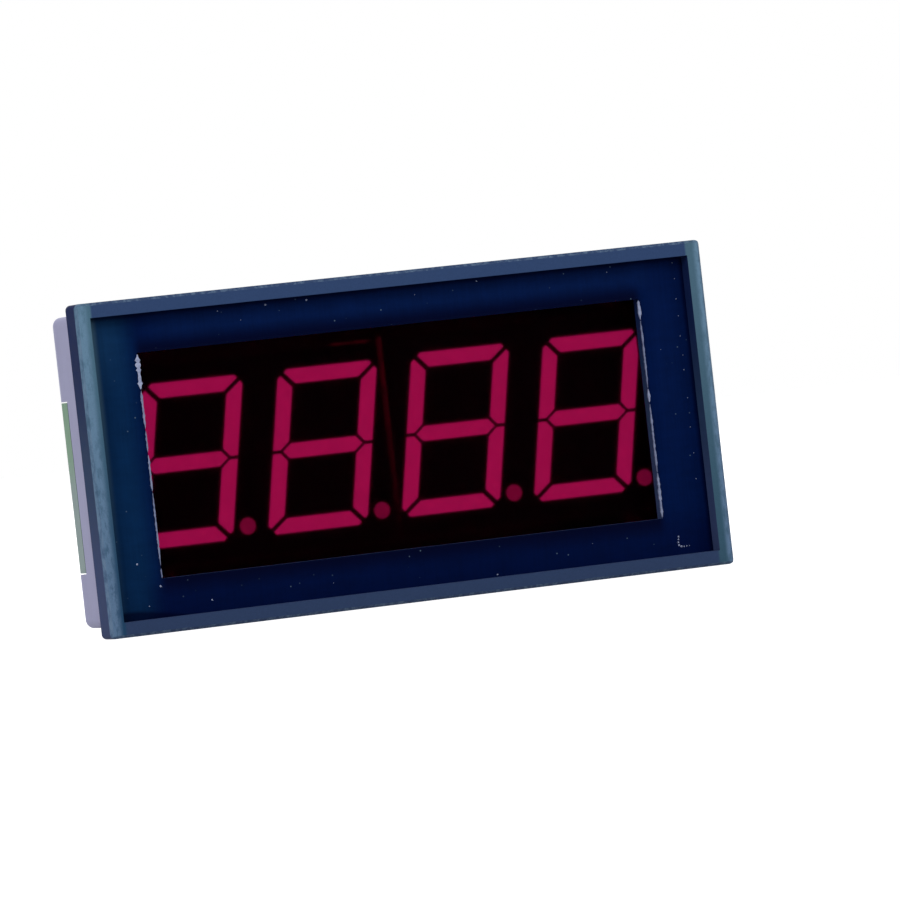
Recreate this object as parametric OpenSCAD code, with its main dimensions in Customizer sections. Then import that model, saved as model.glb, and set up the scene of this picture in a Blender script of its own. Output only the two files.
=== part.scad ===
// Digital panel meter with four slanted seven-segment digits.
// The back of the bezel flange seats on the panel: that plane is y = 0, the front faces -Y and +Z is up.

/* [Display modules] */
// Height of a digit
digit_h = 14.2; // [13.6:0.1:14.6]
// Width of a digit, cut level
digit_w = 9.22; // [8.8:0.02:9.5]
// Distance from one digit to the next
digit_pitch = 12.5; // [12.4:0.05:12.8]
// Lean of the digits in degrees
digit_slant = 10.4; // [6:0.2:11]
// Thickness of the level segments
level_stroke = 1.3; // [1.1:0.02:1.8]
// Width of the upright segments, cut level
upright_stroke = 1.4; // [1.2:0.01:1.9]
// Dark line between two segments
segment_gap = 0.3; // [0.2:0.02:0.4]
// Clipped outer corner of a digit
corner_clip = 0.8; // [0.5:0.05:1]
// Diameter of a decimal point
point_d = 1.45; // [1.2:0.05:1.7]
// Decimal point to the right of its digit's centre
point_x = 4.82; // [4.75:0.01:5]
// Height of a display module
module_h = 17.8; // [17.4:0.1:18.4]
// Depth of a display module
module_d = 8.5; // [7.2:0.1:9]
// Outer wall of a display module
module_wall = 0.8; // [0.7:0.05:0.9]
// Depth of the light wells in a module's face
well_d = 4.2; // [3.5:0.1:4.6]
// Bevel round a module's face
face_bevel = 0.2; // [0.1:0.05:0.25]
// Gap between the two modules
module_gap = 0.1; // [0.06:0.02:0.2]
// Left module above the centre line, within the play of its pins
left_module_z = -0.12; // [-0.12:0.02:0.12]
// Right module above the centre line, within the play of its pins
right_module_z = 0.06; // [-0.12:0.02:0.12]
// Diameter of a display pin
display_pin_d = 0.5; // [0.4:0.05:0.6]
// Pin rows from a module's top and bottom edges
pin_row_inset = 1.28; // [1.2:0.02:1.4]
// Number of pins in a row
pins_in_row = 9; // [5:1:9]

/* [Bezel] */
// Flange beyond the case at each side
flange_side = 2.8; // [2.4:0.1:5]
// Flange beyond the case at top and bottom
flange_top = 0.7; // [0.6:0.05:3]
// Thickness of the flange
flange_t = 2.6; // [2.4:0.1:4]
// Width of the raised rim
rim_w = 1.3; // [1:0.1:1.6]
// Depth of the field inside the rim
field_depth = 1.45; // [1:0.05:1.7]
// Bevel along the front edge of the rim
rim_bevel = 0.25; // [0.1:0.05:0.5]
// Radius of the bezel's outer corners
bezel_corner_r = 0.45; // [0.3:0.05:1]
// Depth of the rebate that the case's front end sits in
case_seat = 0.3; // [0.2:0.05:0.5]
// Depth of the relief along the flange's top and bottom edges
edge_relief = 0.2; // [0.1:0.05:0.25]
// How far the bezel covers the modules at each end
window_cover = 1.6; // [1.5:0.05:1.9]
// Opening beyond the modules at top and bottom
window_margin = 0.85; // [0.3:0.05:0.95]
// Opening's centre beside the bezel's centre
window_shift = -0.1; // [-0.15:0.05:0.15]
// Wall of the collar behind the flange
collar_wall = 1; // [0.8:0.05:1]
// Width of a catch on the collar
catch_w = 5; // [3:0.5:6]
// Height of a catch on the collar
catch_h = 0.6; // [0.4:0.05:0.8]

/* [Filter] */
// Thickness of the red filter
filter_t = 1.5; // [1:0.1:2]
// Air between filter and display
filter_air = 1.3; // [1.2:0.1:2.5]
// Clearance round the filter
filter_fit = 0.1; // [0.05:0.05:0.15]
// Height of the nibs that hold the filter
nib_h = 0.35; // [0.2:0.05:0.5]

/* [Case] */
// Wall of the case
case_wall = 1.1; // [1:0.05:1.6]
// Radius of the case's outer corners
case_corner_r = 0.8; // [0.4:0.1:1]
// Clearance between modules and case at each end
module_fit = 0.2; // [0.1:0.05:0.4]
// Clearance between collar and case
collar_fit = 0.1; // [0.05:0.05:0.2]
// Diameter of a screw boss
boss_d = 3.4; // [3.2:0.1:4]
// Gap between a boss and the modules
boss_gap = 0.3; // [0.2:0.05:0.6]
// Screw bosses from the case's inner side walls
boss_inset = 3.2; // [2.2:0.1:3.4]
// Width of a panel snap arm
arm_w = 7; // [5:0.5:8]
// Snap arms from the case's centre line
arm_x = 13.8; // [13:0.1:15]
// Slot round a snap arm
arm_slot = 0.7; // [0.5:0.1:1]
// Thickest panel that the arms hold
panel_t = 2; // [1.6:0.1:2.4]
// Clearance behind the thickest panel
panel_play = 0.1; // [0.05:0.05:0.2]

/* [Board] */
// Thickness of the circuit board
board_t = 1.6; // [1:0.2:2]
// Clearance round the board in the case
board_fit = 0.1; // [0.05:0.05:0.2]
// Height of the tabs in the case's side notches
tab_h = 15; // [10:0.5:17]
// Tabs above the board's centre line, which keys the board
tab_z = -1.3; // [-2:0.1:2]
// Clearance round a lead in its hole
lead_fit = 0.15; // [0.1:0.05:0.25]
// How far soldered leads reach past the board
lead_stub = 0.6; // [0.4:0.1:0.7]
// How far display pins reach past the board
display_pin_stub = 1.2; // [0.8:0.1:1.6]
// Diameter of a screw's thread
screw_d = 1.6; // [1.4:0.1:1.7]
// Length of a screw under its head
screw_l = 6; // [4:0.5:8]
// Diameter of a screw's head
screw_head_d = 3; // [2.6:0.1:3.2]
// Height of a screw's head
screw_head_h = 1.1; // [0.9:0.1:1.4]

/* [Converter chip] */
// Side of the chip's body
chip_w = 10; // [9.6:0.1:10.2]
// Thickness of the chip's body
chip_t = 2; // [1.4:0.1:2.4]
// Span over opposite leads
chip_span = 12.8; // [12.6:0.05:13]
// Leads on each side
chip_leads = 11; // [8:1:11]
// Distance from one chip lead to the next
chip_lead_pitch = 0.8; // [0.65:0.05:0.8]
// Width of a lead
chip_lead_w = 0.35; // [0.25:0.05:0.4]
// Thickness of a lead
chip_lead_t = 0.15; // [0.12:0.01:0.2]

/* [Trimmer] */
// Side of the trimmer's body
trimmer_w = 6.6; // [6:0.1:7]
// Height of the trimmer's body
trimmer_h = 4.8; // [4:0.1:6]
// Diameter of the rotor
rotor_d = 4; // [3.4:0.1:4.6]
// Running clearance round the rotor
rotor_fit = 0.05; // [0.03:0.01:0.08]
// Depth of the rotor's seat
rotor_seat = 1.6; // [1.2:0.1:2]
// Width of the screwdriver slot
driver_slot_w = 0.7; // [0.5:0.05:0.9]
// Trimmer's side leads from its middle
trimmer_pitch = 2.54; // [2.2:0.02:2.6]
// Trimmer's wiper lead from its middle
trimmer_row = 2.3; // [2:0.1:2.6]

/* [Capacitors] */
// Length of a box capacitor
film_l = 7.2; // [6.8:0.1:7.4]
// Thickness of a box capacitor
film_t = 2.5; // [2.3:0.1:2.7]
// Height of a box capacitor
film_h = 6.5; // [5:0.1:7.5]
// Lead spacing of a box capacitor
film_pitch = 5; // [4.6:0.1:5.4]
// Chamfer round a box capacitor's edges
film_chamfer = 0.25; // [0.1:0.05:0.3]
// Diameter of a supply can
can_d = 5; // [4:0.1:5.4]
// Height of a supply can
can_h = 7; // [5:0.5:8]
// Lead spacing of a supply can
can_pitch = 2; // [1.6:0.1:2.5]
// Diameter of the disc capacitor
disc_d = 4.2; // [3.6:0.1:4.6]
// Thickness of the disc capacitor
disc_t = 2.2; // [1.8:0.1:2.4]
// Lead spacing of the disc capacitor
disc_pitch = 2.5; // [2:0.1:2.6]

/* [Axial parts] */
// Length of a resistor's body
resistor_l = 3.4; // [3:0.1:4]
// Diameter of a resistor's end caps
resistor_d = 1.8; // [1.5:0.1:2]
// Lead spacing of the axial parts
axial_pitch = 7.62; // [7:0.02:8]
// Radius of a lead's bend, to its centre line
bend_r = 0.7; // [0.5:0.05:0.9]
// Diameter of the wire leads
wire_d = 0.45; // [0.4:0.05:0.55]

/* [Headers] */
// Pitch of the header pins
header_pitch = 2.54; // [2.5:0.02:2.54]
// Side of a square header pin
header_pin_w = 0.64; // [0.6:0.02:0.66]
// Height of a header pin above its housing
header_pin_h = 6; // [5:0.1:7]
// Pins in a column of the signal header
signal_rows = 5; // [3:1:5]
// Pins of the decimal-point header
point_pins = 4; // [3:1:4]
// Height of the jumper shunt
shunt_h = 6; // [5.6:0.1:8]
// Wall of the jumper shunt
shunt_wall = 0.5; // [0.4:0.05:0.55]
// Thickness of the shunt's contact strip
strip_t = 0.2; // [0.15:0.01:0.25]

/* [Hidden] */
$fn = 48;
bond = 0.03;              // gap left for an adhesive or cast joint
wire_play = 0.05;         // gap between a lead and the moulding that it leaves
lead_socket = 1;          // how deep a straight lead sits in its moulding
case_fit = 0.05;          // gap round the case's front end in its rebate
cut = 1;                  // how far a cutting solid runs past what it cuts

// Depths along y
field_y = field_depth - flange_t;
display_y = filter_t + filter_air;
board_y = display_y + module_d;
board_back = board_y + board_t;
collar_relief = 0.3;
collar_l = display_y - collar_relief;

// Widths and heights
module_w = 2 * digit_pitch - module_gap;
inner_w = 4 * digit_pitch + 2 * module_fit;
inner_h = module_h + 2 * (boss_d + boss_gap);
boss_x = inner_w / 2 - boss_inset;
case_w = inner_w + 2 * case_wall;
case_h = inner_h + 2 * case_wall;
bezel_w = case_w + 2 * flange_side;
bezel_h = case_h + 2 * flange_top;
window_w = 4 * digit_pitch - 2 * window_cover;
window_h = module_h + 2 * window_margin;
collar_w = inner_w - 2 * collar_fit;
collar_h = inner_h - 2 * collar_fit;
filter_w = collar_w - 2 * (collar_wall + filter_fit);
filter_h = collar_h - 2 * (collar_wall + filter_fit);
board_w = inner_w - 2 * board_fit;
board_h = inner_h - 2 * board_fit;

// Catches of the collar and windows for them in the case
catch_x = 4.5;
catch_back = 2.3;
catch_run = 1.1;
catch_play = 0.2;
catch_rise = min(catch_h, case_wall) - catch_play / 2;

// Nibs that hold the filter
nib_w = 4;
nib_x = 19;
nib_run = 0.6;

// Snap arms
arm_tip = panel_t + panel_play;
arm_land = 1.2;
arm_root = board_y - arm_land;
tooth_h = flange_top - 0.1;
tooth_run = 3.2;

// Screws
screw_fit = 0.1;
thread_fit = 0.03;
screw_at = [for (sx = [-1, 1], sz = [-1, 1]) [sx * boss_x, sz * (inner_h - boss_d) / 2]];
recess_w = 0.45;
recess_l = 1.8;
recess_d = 0.6;

// Display pins
display_pin_in = 1.5;
pin_row_span = module_h - 2 * pin_row_inset;
recess_back = 1;
pin_pitch = 2.54;
slab_y = display_y + well_d;
slab_end = board_y - recess_back;
pin_columns = [for (i = [0:pins_in_row - 1]) (i - (pins_in_row - 1) / 2) * pin_pitch];

// Axial leads and strips above and below the modules' pin rows
strip_z = (module_h / 2 + board_h / 2) / 2 - 0.1;
axial_gap = 1.98;
axial_step = axial_pitch + axial_gap;
axial_lift = 0.15;

// Column of parts between the pin rows, from the left edge to the right
edge_keep = 5.4;
part_gap = 1;
chip_gap = 3.3;
can_gap = 1.8;
trimmer_gap = 1.4;
zone_h = pin_row_span / 2 - 0.9;
film_a_x = edge_keep - board_w / 2 + film_t / 2;
film_b_x = film_a_x + film_t + part_gap;
film_top_z = zone_h - film_l / 2 - 0.3;
film_c_x = film_a_x + (film_t + part_gap) / 2;
film_c_z = film_t / 2 - zone_h;
chip_x = film_b_x + film_t / 2 + chip_gap + chip_span / 2;
can_x = chip_x + chip_span / 2 + can_gap + can_d / 2;
can_z = can_d / 2 + 0.6;
trimmer_x = can_x + can_d / 2 + trimmer_gap + trimmer_w / 2;
trimmer_z = zone_h - trimmer_w / 2 - 0.6;
sensor_w = 4.8;
sensor_depth = 3.8;
sensor_flat = 1.3;
sensor_h = 4.8;
sensor_lift = 1;
sensor_pitch = 1.27;
sensor_x = can_x + can_d / 2 + 0.6 + sensor_w / 2;
sensor_z = sensor_depth / 2 - zone_h + 0.7;
disc_x = sensor_x + sensor_w / 2 + part_gap + disc_t / 2;
disc_z = disc_d / 2 - zone_h + 0.6;

// Header places and lengths
signal_x = board_w / 2 - header_pitch - 0.65;
point_z = -strip_z - 0.1;
housing_h = header_pitch;
column_z = [for (i = [0:signal_rows - 1]) (i - (signal_rows - 1) / 2) * header_pitch];
point_x_at = [for (i = [0:point_pins - 1]) (i - (point_pins - 1) / 2) * header_pitch];
signal_at = [for (side = [-1, 1], z = column_z) [signal_x + side * header_pitch / 2, z]];
point_at = [for (x = point_x_at) [x, point_z]];
shunt_x = (point_pins / 2 - 1) * header_pitch;
shunt_w = 2 * header_pitch - 0.2;
shunt_t = header_pitch - 0.1;
shunt_lift = 0.1;
contact_play = 0.04;
shunt_play = 0.1;

// Lead places on the board, each [x, z]
function pair_x(x, z, pitch) = [[x - pitch / 2, z], [x + pitch / 2, z]];
function pair_z(x, z, pitch) = [[x, z - pitch / 2], [x, z + pitch / 2]];

film_a_leads = pair_z(film_a_x, film_top_z, film_pitch);
film_b_leads = pair_z(film_b_x, film_top_z, film_pitch);
film_c_leads = pair_x(film_c_x, film_c_z, film_pitch);
can_a_leads = pair_z(can_x, can_z, can_pitch);
can_b_leads = pair_z(can_x, -can_z, can_pitch);
disc_leads = pair_z(disc_x, disc_z, disc_pitch);
sensor_leads = [for (i = [-1:1]) [sensor_x + sensor_pitch * i, sensor_z]];
trimmer_leads = [[trimmer_x - trimmer_pitch, trimmer_z], [trimmer_x + trimmer_pitch, trimmer_z],
                 [trimmer_x, trimmer_z + trimmer_row]];
resistor_at = [for (i = [0:3]) [(i - 1.5) * axial_step, strip_z]];
feed_resistor_at = [1.45 * axial_step, -strip_z];
diode_at = [-1.45 * axial_step, -strip_z];
axial_leads = [for (p = concat(resistor_at, [feed_resistor_at, diode_at])) each pair_x(p.x, p.y, axial_pitch)];
wire_leads = concat(film_a_leads, film_b_leads, film_c_leads, can_a_leads, can_b_leads, disc_leads,
                    sensor_leads, trimmer_leads, axial_leads);
display_pin_at = [for (side = [-1, 1], row = [-1, 1], x = pin_columns)
                  [side * digit_pitch + x, row * pin_row_span / 2]];

// Solids along y: the local x and y of a flat shape become x and z
module along_y(from, to) {
    translate([0, to, 0])
        rotate([90, 0, 0])
            linear_extrude(height = to - from)
                children();
}

// A part that stands on the back of the board: local z points away from it, local x is x
module on_board(at) {
    translate([at.x, board_back, at.y])
        rotate([-90, 0, 0])
            children();
}

module rounded_rect(w, h, r) {
    square([w - 2 * r, h], center = true);
    square([w, h - 2 * r], center = true);
    for (sx = [-1, 1], sz = [-1, 1])
        translate([sx * (w / 2 - r), sz * (h / 2 - r)])
            circle(r);
}

// A block whose front edges are bevelled, from y = front to y = back
module bevelled_block(w, h, front, back, bevel) {
    intersection() {
        translate([0, 0, -h / 2 - cut])
            linear_extrude(height = h + 2 * cut)
                bevel_profile(w, front, back, bevel);
        rotate([0, 90, 0])
            translate([0, 0, -w / 2 - cut])
                linear_extrude(height = w + 2 * cut)
                    bevel_profile(h, front, back, bevel);
    }
}

module bevel_profile(w, front, back, bevel) {
    polygon([
        [-w / 2, back], [w / 2, back], [w / 2, front + bevel], [w / 2 - bevel, front],
        [bevel - w / 2, front], [-w / 2, front + bevel]
    ]);
}

// ---- Seven-segment digit ----
// Corner points of the upright digit in its first quadrant, leaned over by the slant.
// grow widens every segment by that much on each side, for the well that it is cast in.
function lean(p) = [p.x + p.y * tan(digit_slant), p.y];
function flip(points, sx, sz) = [for (p = points) lean([sx * p.x, sz * p.y])];

function level_end(half_w, half_h, level, upright, gap) = [
    [half_w - corner_clip, half_h],
    [half_w - (corner_clip + gap) / 2, half_h - (corner_clip - gap) / 2],
    [half_w - upright - gap, half_h - level]
];

function outer_level(sz, grow) =
    let (half_w = digit_w / 2 + grow, half_h = digit_h / 2 + grow)
    let (level = level_stroke + 2 * grow, upright = upright_stroke + 2 * grow)
    let (end = level_end(half_w, half_h, level, upright, segment_gap - 2 * grow))
    concat(flip(end, 1, sz), flip([for (i = [2:-1:0]) end[i]], -1, sz));

function middle_level(grow) =
    let (tip = (digit_w - upright_stroke - 1.4 * segment_gap) / 2 + grow)
    let (half = level_stroke / 2 + grow)
    let (shoulder = tip - upright_stroke / 2)
    flip([[tip, 0], [shoulder, half], [-shoulder, half], [-tip, 0], [-shoulder, -half], [shoulder, -half]], 1, 1);

function upright_segment(sx, sz, grow) =
    let (half_w = digit_w / 2 + grow, half_h = digit_h / 2 + grow)
    let (level = level_stroke + 2 * grow, upright = upright_stroke + 2 * grow, gap = segment_gap - 2 * grow)
    flip([
        [half_w, half_h - corner_clip],
        [half_w - (corner_clip - gap) / 2, half_h - (corner_clip + gap) / 2],
        [half_w - upright, half_h - level - gap],
        [half_w - upright, level_stroke / 2 + 0.65 * segment_gap - grow],
        [half_w - upright / 2, gap / 2],
        [half_w, gap / 2]
    ], sx, sz);

module digit(grow) {
    for (sz = [-1, 1])
        polygon(outer_level(sz, grow));
    polygon(middle_level(grow));
    for (sx = [-1, 1], sz = [-1, 1])
        polygon(upright_segment(sx, sz, grow));
    translate([point_x, point_d / 2 - digit_h / 2 + 0.3])
        circle(d = point_d + 2 * grow);
}

module module_digits(grow) {
    for (side = [-1, 1])
        translate([side * digit_pitch / 2, 0])
            digit(grow);
}

// ---- Display module, about its own centre ----
module display_housing() {
    difference() {
        bevelled_block(module_w, module_h, display_y, board_y, face_bevel);
        along_y(display_y - cut, slab_y + 3 * bond)
            module_digits(bond);
        along_y(slab_y, board_y + cut)
            square([module_w - 2 * module_wall, module_h - 2 * module_wall], center = true);
    }
}

module display_cast() {
    difference() {
        union() {
            along_y(display_y + bond, slab_y + 2 * bond)
                module_digits(0);
            along_y(slab_y + bond, slab_end)
                square([module_w - 2 * module_wall - 2 * bond, module_h - 2 * module_wall - 2 * bond], center = true);
        }
        along_y(slab_end - display_pin_in, slab_end + cut)
            display_pin_rows(display_pin_d + 2 * bond);
    }
}

module display_pin_rows(d) {
    for (x = pin_columns, row = [-1, 1])
        translate([x, row * pin_row_span / 2])
            circle(d = d);
}

module display_pins() {
    along_y(slab_end - display_pin_in + bond, board_back + display_pin_stub)
        display_pin_rows(display_pin_d);
}

module left_display_housing() {
    color("dimgray")
        translate([-digit_pitch, 0, left_module_z])
            display_housing();
}

module right_display_housing() {
    color("dimgray")
        translate([digit_pitch, 0, right_module_z])
            display_housing();
}

module left_display_segments() {
    color("crimson")
        translate([-digit_pitch, 0, left_module_z])
            display_cast();
}

module right_display_segments() {
    color("crimson")
        translate([digit_pitch, 0, right_module_z])
            display_cast();
}

module left_display_pins() {
    color("silver")
        translate([-digit_pitch, 0, left_module_z])
            display_pins();
}

module right_display_pins() {
    color("silver")
        translate([digit_pitch, 0, right_module_z])
            display_pins();
}

// ---- Bezel ----
module front_bezel() {
    color("midnightblue") {
        difference() {
            union() {
                flange();
                collar();
            }
            along_y(-flange_t - cut, field_y)
                square([bezel_w - 2 * rim_w, bezel_h - 2 * rim_w], center = true);
            along_y(field_y - cut, cut)
                translate([window_shift, 0])
                    square([window_w, window_h], center = true);
        }
        for (side = [-1, 1], x = [-catch_x, catch_x])
            collar_catch(x, side);
        for (side = [-1, 1], x = [-nib_x, nib_x])
            filter_nib(x, side);
    }
}

// The flange bears on the panel at its two ends; between them its edges are relieved for a blade
module flange() {
    relief_w = 2 * (arm_x + arm_w / 2 + arm_slot);
    difference() {
        intersection() {
            bevelled_block(bezel_w, bezel_h, -flange_t, 0, rim_bevel);
            along_y(-flange_t - cut, cut)
                rounded_rect(bezel_w, bezel_h, bezel_corner_r);
        }
        along_y(-case_seat, cut)
            difference() {
                rounded_rect(case_w + 2 * case_fit, case_h + 2 * case_fit, case_corner_r);
                square([collar_w, collar_h], center = true);
            }
        for (side = [-1, 1])
            translate([0, 0, side * (case_h + bezel_h) / 4])
                cube([relief_w, 2 * edge_relief, (bezel_h - case_h) / 2 + case_fit], center = true);
    }
}

// Collar that plugs into the case, cut back where the snap arms bend inwards
module collar() {
    difference() {
        along_y(-bond, collar_l)
            difference() {
                square([collar_w, collar_h], center = true);
                square([collar_w - 2 * collar_wall, collar_h - 2 * collar_wall], center = true);
            }
        for (side = [-1, 1])
            translate([side * arm_x, (filter_t + collar_l + cut) / 2, 0])
                cube([arm_w + 2 * arm_slot, collar_l + cut - filter_t, collar_h + cut], center = true);
    }
}

// Wedge profile in y and z, extruded along x
module wedge_x(x, w, points) {
    translate([x - w / 2, 0, 0])
        rotate([90, 0, 90])
            linear_extrude(height = w)
                polygon(points);
}

module collar_catch(x, side) {
    base = side * (collar_h / 2 - collar_wall / 2);
    face = side * collar_h / 2;
    wedge_x(x, catch_w, [
        [catch_back - catch_run, base], [catch_back, base], [catch_back, face],
        [catch_back - catch_run + 0.3, side * (collar_h / 2 + catch_rise)], [catch_back - catch_run, side * (collar_h / 2 + catch_rise)]
    ]);
}

module filter_nib(x, side) {
    base = side * (collar_h / 2 - collar_wall / 2);
    face = collar_h / 2 - collar_wall;
    wedge_x(x, nib_w, [
        [filter_t + wire_play, base], [filter_t + wire_play, side * (face - nib_h)],
        [filter_t + wire_play + 0.2, side * (face - nib_h)], [filter_t + wire_play + nib_run, side * face],
        [filter_t + wire_play + nib_run, base]
    ]);
}

// ---- Filter ----
module filter_window() {
    color("crimson", 0.5)
        along_y(0, filter_t)
            square([filter_w, filter_h], center = true);
}

// ---- Case ----
module rear_case() {
    color("lightsteelblue") {
        difference() {
            along_y(-case_seat, board_back)
                difference() {
                    rounded_rect(case_w, case_h, case_corner_r);
                    square([inner_w, inner_h], center = true);
                }
            for (x = [-catch_x, catch_x])
                translate([x, catch_back - catch_run / 2, 0])
                    cube([catch_w + catch_play, catch_run + catch_play, case_h + cut], center = true);
            translate([0, (board_y - board_fit + board_back + cut) / 2, tab_z])
                cube([case_w + cut, board_t + board_fit + cut, tab_h + 2 * board_fit], center = true);
            for (x = [-arm_x, arm_x])
                translate([x, 0, 0])
                    arm_slots();
        }
        for (side = [-1, 1], x = [-arm_x, arm_x])
            arm_tooth(x, side);
        for (at = screw_at)
            screw_boss(at);
    }
}

// Slot round three sides of a snap arm, through both walls
module arm_slots() {
    translate([0, 0, -case_h / 2 - cut])
        linear_extrude(height = case_h + 2 * cut)
            difference() {
                translate([-arm_w / 2 - arm_slot, arm_tip - arm_slot])
                    square([arm_w + 2 * arm_slot, arm_root + arm_slot - arm_tip]);
                translate([-arm_w / 2, arm_tip])
                    square([arm_w, arm_root - arm_tip + cut]);
            }
}

module arm_tooth(x, side) {
    base = side * (case_h - case_wall) / 2;
    face = case_h / 2;
    wedge_x(x, arm_w, [
        [arm_tip, base], [arm_tip, side * (face + tooth_h)], [arm_tip + 0.4, side * (face + tooth_h)],
        [arm_tip + tooth_run, side * face], [arm_tip + tooth_run, base]
    ]);
}

module screw_boss(at) {
    side = sign(at.y);
    difference() {
        translate([at.x, 0, at.y])
            along_y(collar_l + collar_fit, board_y) {
                circle(d = boss_d);
                translate([0, side * boss_d / 4 + side * case_wall / 4])
                    square([boss_d, boss_d / 2 + case_wall / 2], center = true);
            }
        translate([at.x, 0, at.y])
            along_y(board_back - screw_l - 0.5, board_y + cut)
                circle(d = screw_d + 2 * thread_fit);
    }
}

// ---- Board ----
module circuit_board() {
    color("seagreen")
        difference() {
            along_y(board_y, board_back) {
                square([board_w, board_h], center = true);
                translate([0, tab_z])
                    square([case_w, tab_h], center = true);
            }
            along_y(board_y - cut, board_back + cut) {
                for (at = screw_at)
                    translate(at)
                        circle(d = screw_d + 2 * screw_fit);
                for (at = display_pin_at)
                    translate(at)
                        circle(d = display_pin_d + 2 * lead_fit);
                for (at = wire_leads)
                    translate(at)
                        circle(d = wire_d + 2 * lead_fit);
                for (at = concat(signal_at, point_at))
                    translate(at)
                        circle(d = header_pin_w * sqrt(2) + lead_fit);
            }
        }
}

// Pan head with a cross recess
module board_screws() {
    color("silver")
        for (at = screw_at)
            on_board(at)
                difference() {
                    rotate_extrude()
                        polygon([
                            [0, -screw_l], [screw_d / 4, -screw_l], [screw_d / 2, 0.8 - screw_l], [screw_d / 2, 0],
                            [screw_head_d / 2, 0], [screw_head_d / 2, screw_head_h * 0.55],
                            [screw_head_d * 0.42, screw_head_h * 0.85], [screw_head_d * 0.3, screw_head_h],
                            [0, screw_head_h]
                        ]);
                    for (turn = [45, 135])
                        translate([0, 0, screw_head_h])
                            rotate([0, 0, turn])
                                cube([recess_l, recess_w, 2 * recess_d], center = true);
                }
}

// ---- Converter chip ----
chip_lift = 0.15;
chip_draft = 0.15;

module chip_section(w) {
    polygon([
        [chip_draft - w / 2, chip_lift], [w / 2 - chip_draft, chip_lift], [w / 2, chip_lift + chip_t / 2],
        [w / 2 - chip_draft, chip_lift + chip_t], [chip_draft - w / 2, chip_lift + chip_t], [-w / 2, chip_lift + chip_t / 2]
    ]);
}

module converter_chip() {
    color("#202124")
        on_board([chip_x, 0])
            difference() {
                intersection_for (turn = [0, 90])
                    rotate([0, 0, turn])
                        rotate([90, 0, 0])
                            linear_extrude(height = chip_w + cut, center = true)
                                chip_section(chip_w);
                translate([-chip_w * 0.36, -chip_w * 0.36, chip_lift + chip_t - 0.1])
                    cylinder(h = cut, d = 1);
            }
}

// Gull-wing lead: out of the body's waist, down to the board and along it
module converter_chip_leads() {
    waist = chip_lift + chip_t / 2;
    reach = chip_span / 2;
    knee = chip_w / 2 + 0.45;
    foot = reach - 0.75;
    t = chip_lead_t;
    color("silver")
        on_board([chip_x, 0])
            for (turn = [0:90:270], i = [0:chip_leads - 1])
                rotate([0, 0, turn])
                    translate([0, (i - (chip_leads - 1) / 2) * chip_lead_pitch, 0])
                        rotate([90, 0, 0])
                            linear_extrude(height = chip_lead_w, center = true)
                                polygon([
                                    [chip_w / 2, waist - t / 2], [knee - t, waist - t / 2], [foot - t, 0], [reach, 0],
                                    [reach, t], [foot, t], [knee, waist + t / 2], [chip_w / 2, waist + t / 2]
                                ]);
}

// ---- Trimmer ----
trimmer_foot = 0.4;
trimmer_foot_w = 1.2;
driver_slot_d = 0.7;

module trimmer_body() {
    color("royalblue")
        on_board([trimmer_x, trimmer_z])
            difference() {
                linear_extrude(height = trimmer_h)
                    chamfered_square(trimmer_w, 0.5);
                for (turn = [0, 90])
                    rotate([0, 0, turn])
                        cube([trimmer_w + cut, trimmer_w - 2 * trimmer_foot_w, 2 * trimmer_foot], center = true);
                translate([0, 0, trimmer_h - rotor_seat])
                    cylinder(h = rotor_seat + cut, d = rotor_d + 2 * rotor_fit);
                for (at = trimmer_leads)
                    translate([at.x - trimmer_x, trimmer_z - at.y, -cut])
                        cylinder(h = cut + trimmer_foot + lead_socket, d = wire_d + 2 * wire_play);
            }
}

module chamfered_square(w, c) {
    polygon([
        [c - w / 2, -w / 2], [w / 2 - c, -w / 2], [w / 2, c - w / 2], [w / 2, w / 2 - c],
        [w / 2 - c, w / 2], [c - w / 2, w / 2], [-w / 2, w / 2 - c], [-w / 2, c - w / 2]
    ]);
}

// Rotor with a screwdriver slot and a pointer notch at one end of it
module trimmer_rotor() {
    color("ivory")
        on_board([trimmer_x, trimmer_z])
            difference() {
                translate([0, 0, trimmer_h - rotor_seat + rotor_fit])
                    cylinder(h = rotor_seat - rotor_fit, d = rotor_d);
                translate([-rotor_d * 0.4, -driver_slot_w / 2, trimmer_h - driver_slot_d])
                    cube([rotor_d * 0.8, driver_slot_w, cut]);
                translate([0, 0, trimmer_h - driver_slot_d])
                    linear_extrude(height = cut)
                        polygon([
                            [rotor_d * 0.4, 0], [rotor_d * 0.15, rotor_d * 0.25], [rotor_d * 0.15, -rotor_d * 0.25]
                        ]);
            }
}

module trimmer_leads() {
    color("silver")
        for (at = trimmer_leads)
            straight_lead(at, trimmer_foot + lead_socket - wire_play);
}

// ---- Wire leads ----
module straight_lead(at, top) {
    on_board(at)
        translate([0, 0, -board_t - lead_stub])
            cylinder(h = board_t + lead_stub + top, d = wire_d);
}

// Lead of a part that lies on the board: out of its end, round the bend and through the board
module bent_lead(axis_z, body_l, pitch) {
    straight = (pitch - body_l) / 2 - wire_play - bend_r;
    translate([body_l / 2 + wire_play, 0, axis_z])
        rotate([0, 90, 0])
            cylinder(h = straight, d = wire_d);
    translate([pitch / 2 - bend_r, 0, axis_z - bend_r])
        rotate([90, 0, 0])
            rotate_extrude(angle = 90)
                translate([bend_r, 0])
                    circle(d = wire_d);
    translate([pitch / 2, 0, -board_t - lead_stub])
        cylinder(h = board_t + lead_stub + axis_z - bend_r, d = wire_d);
}

module axial_pair(at, axis_z, body_l) {
    color("silver")
        on_board(at)
            for (turn = [0, 180])
                rotate([0, 0, turn])
                    bent_lead(axis_z, body_l, axial_pitch);
}

// ---- Box capacitors ----
film_foot = 0.4;
film_foot_l = 0.6;

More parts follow.
